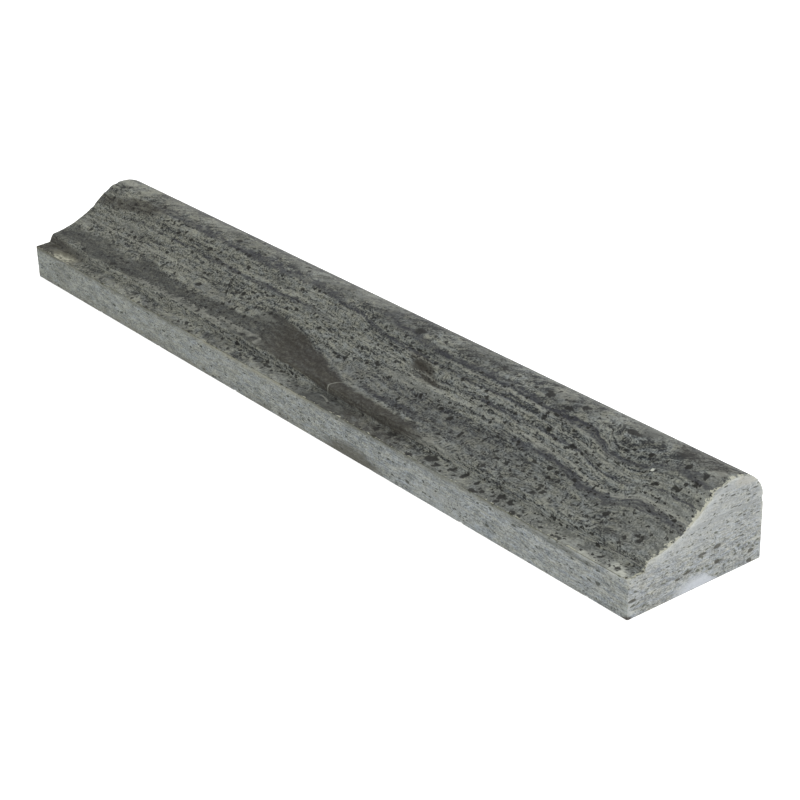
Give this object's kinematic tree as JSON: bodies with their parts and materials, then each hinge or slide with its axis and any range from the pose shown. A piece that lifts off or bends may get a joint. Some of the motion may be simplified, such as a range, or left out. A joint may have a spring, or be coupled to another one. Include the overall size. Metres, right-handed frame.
{
  "type": "slate liner tile",
  "caption": "Straight stone liner moulding with an ogee profile, a stepped ledge along its thin edge and a flat sawn back for bonding to a wall.",
  "frame": {"origin": "middle of the flat bonding face, level with its lowest point", "axes": "+X along the length, +Y from the thin ledge edge to the thick edge, +Z out of the wall, from the bonding face to the crown"},
  "size_m": [0.305, 0.049, 0.028],
  "materials": {
    "slate": "honed on the moulded side and the crown, sawn on the edges, the ends and the bonding face"
  },
  "bodies": {
    "root": {"liner_tile": "slate"}
  },
  "joints": []
}
